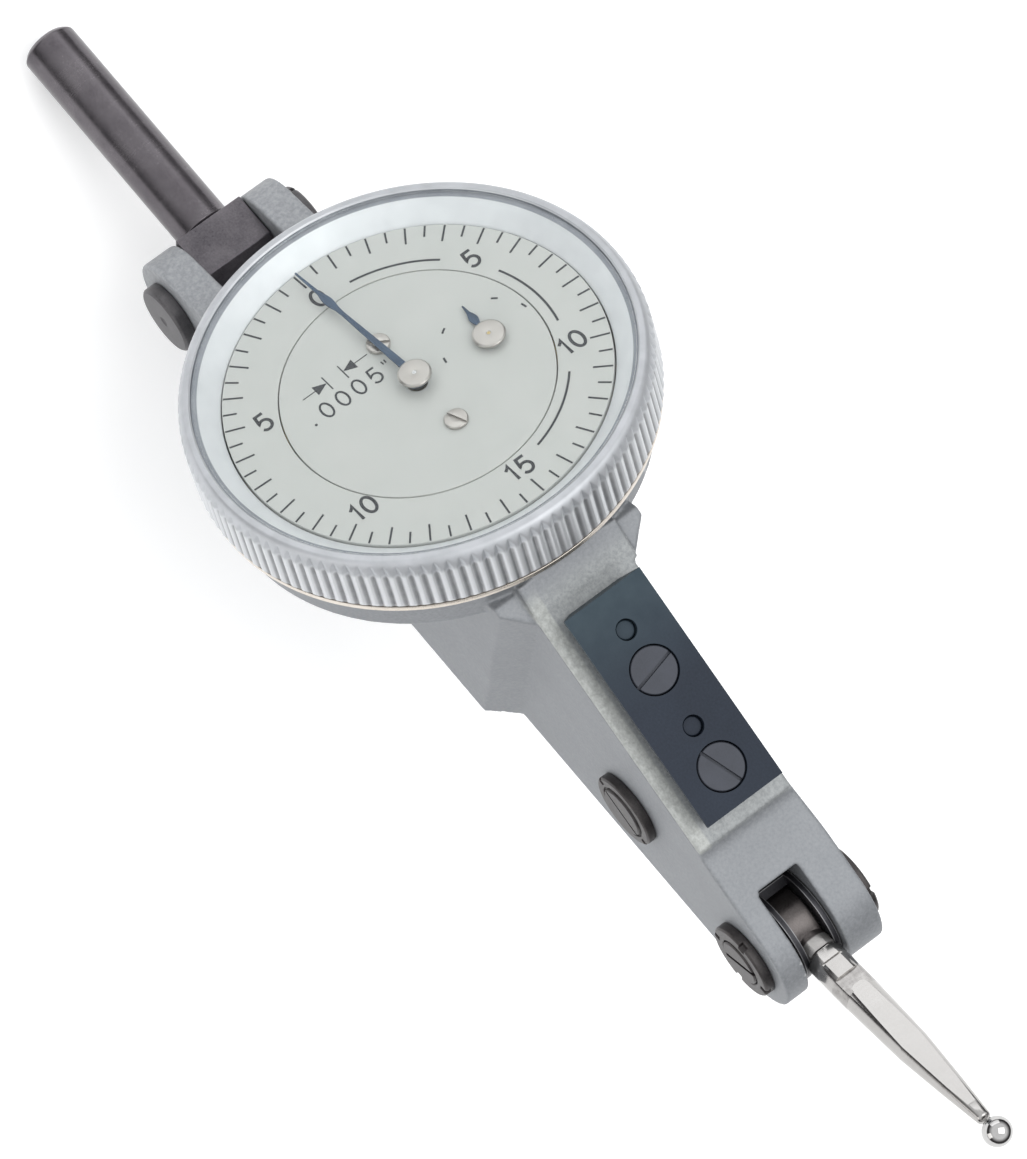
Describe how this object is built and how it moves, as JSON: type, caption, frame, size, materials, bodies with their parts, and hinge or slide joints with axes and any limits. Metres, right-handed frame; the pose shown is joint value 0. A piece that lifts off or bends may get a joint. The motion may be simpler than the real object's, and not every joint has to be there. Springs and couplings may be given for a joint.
{
  "type": "lever dial test indicator",
  "caption": "Lever-type dial test indicator with a tilted dial, dovetail rail, swivelling contact point and a round stem on a rear clevis.",
  "frame": {"origin": "centre of the dovetail rail's top face", "axes": "+Z is the rail face's outward normal, +X runs along the rail towards the contact ball, +Y is to the left seen from the stem"},
  "size_m": [0.0916, 0.0312, 0.0471],
  "materials": {
    "satin_cast": "satin chromed, fine grain",
    "bezel_metal": "satin",
    "dial_face": "matt printed",
    "crystal": "clear",
    "blued_steel": "blued",
    "nickel": "satin nickel",
    "black_steel": "blackened",
    "oxide_steel": "dark oxide",
    "brass": "satin",
    "bright_steel": "polished"
  },
  "bodies": {
    "housing_body": {"housing": "satin_cast", "base_cover": "satin_cast", "base_cover_screw_rear": "oxide_steel", "base_cover_screw_front": "oxide_steel", "dovetail_rail": "black_steel", "dovetail_screw_rear": "oxide_steel", "dovetail_screw_front": "oxide_steel", "dowel_pin_rear": "oxide_steel", "dowel_pin_front": "oxide_steel", "bezel_seat_ring": "brass", "dial_disc": "dial_face", "dial_screw_rear": "nickel", "dial_screw_front": "nickel", "upper_plate": "brass", "pillar_a": "brass", "pillar_b": "brass", "pillar_c": "brass", "lower_plate": "brass", "hairspring": "blued_steel", "hairspring_stud": "brass", "mid_bearing_screw_left": "oxide_steel", "mid_bearing_screw_right": "oxide_steel", "fork_bearing_screw_left": "oxide_steel", "fork_bearing_screw_right": "oxide_steel", "fork_lock_ring_left": "oxide_steel", "fork_lock_ring_right": "oxide_steel", "swivel_pin": "oxide_steel", "clevis_screw_left": "oxide_steel", "clevis_screw_right": "oxide_steel"},
    "bezel_body": {"bezel": "bezel_metal", "crystal": "crystal", "dial_ring": "dial_face"},
    "stylus_lever": {"lever_yoke": "oxide_steel", "drive_pin": "bright_steel"},
    "contact": {"contact_hub": "oxide_steel", "contact_point": "bright_steel", "contact_ball": "bright_steel"},
    "sector": {"sector_lever": "brass", "sector_arbor": "bright_steel"},
    "crown": {"crown_wheel": "brass", "crown_arbor": "bright_steel"},
    "pointer": {"centre_arbor": "bright_steel", "main_hand": "blued_steel", "hand_cap": "nickel"},
    "counter": {"counter_wheel": "brass", "counter_hand": "blued_steel", "counter_cap": "nickel"},
    "stem_body": {"swivel_block": "oxide_steel", "stem": "oxide_steel"}
  },
  "joints": [
    {"name": "bezel_turn", "type": "hinge", "parent": "housing_body", "child": "bezel_body", "pos_m": [-0.02526, 0, -0.00784], "axis": [-0.6468, 0, 0.7627], "continuous": true},
    {"name": "lever_measure", "type": "hinge", "parent": "housing_body", "child": "stylus_lever", "pos_m": [0.0171, 0, -0.0069], "axis": [0, 1, 0], "range_deg": [-2.06, 2.06], "stiffness_Nm_per_rad": 0.02},
    {"name": "contact_swivel", "type": "hinge", "parent": "stylus_lever", "child": "contact", "pos_m": [0.0171, 0, -0.0069], "axis": [0, 1, 0], "range_deg": [-60, 95]},
    {"name": "sector_turn", "type": "hinge", "parent": "housing_body", "child": "sector", "pos_m": [0.0051, 0, -0.0098], "axis": [0, 1, 0], "range_deg": [-7, 7]},
    {"name": "crown_turn", "type": "hinge", "parent": "housing_body", "child": "crown", "pos_m": [-0.01685, 0, -0.01775], "axis": [0, 1, 0], "range_deg": [-70, 70]},
    {"name": "pointer_turn", "type": "hinge", "parent": "housing_body", "child": "pointer", "pos_m": [-0.02526, 0, -0.00784], "axis": [-0.6468, 0, 0.7627], "range_deg": [-360, 360]},
    {"name": "counter_turn", "type": "hinge", "parent": "housing_body", "child": "counter", "pos_m": [-0.02484, 0.00553, -0.00748], "axis": [-0.6468, 0, 0.7627], "range_deg": [-81, 81]},
    {"name": "stem_swivel", "type": "hinge", "parent": "housing_body", "child": "stem_body", "pos_m": [-0.0369, 0, -0.0301], "axis": [0, 1, 0], "range_deg": [-90, 75]}
  ],
  "couplings": [
    {"joint": "sector_turn", "follows": "lever_measure", "ratio": -3.3333},
    {"joint": "crown_turn", "follows": "lever_measure", "ratio": 33.333},
    {"joint": "pointer_turn", "follows": "lever_measure", "ratio": 175},
    {"joint": "counter_turn", "follows": "lever_measure", "ratio": -38.889}
  ]
}
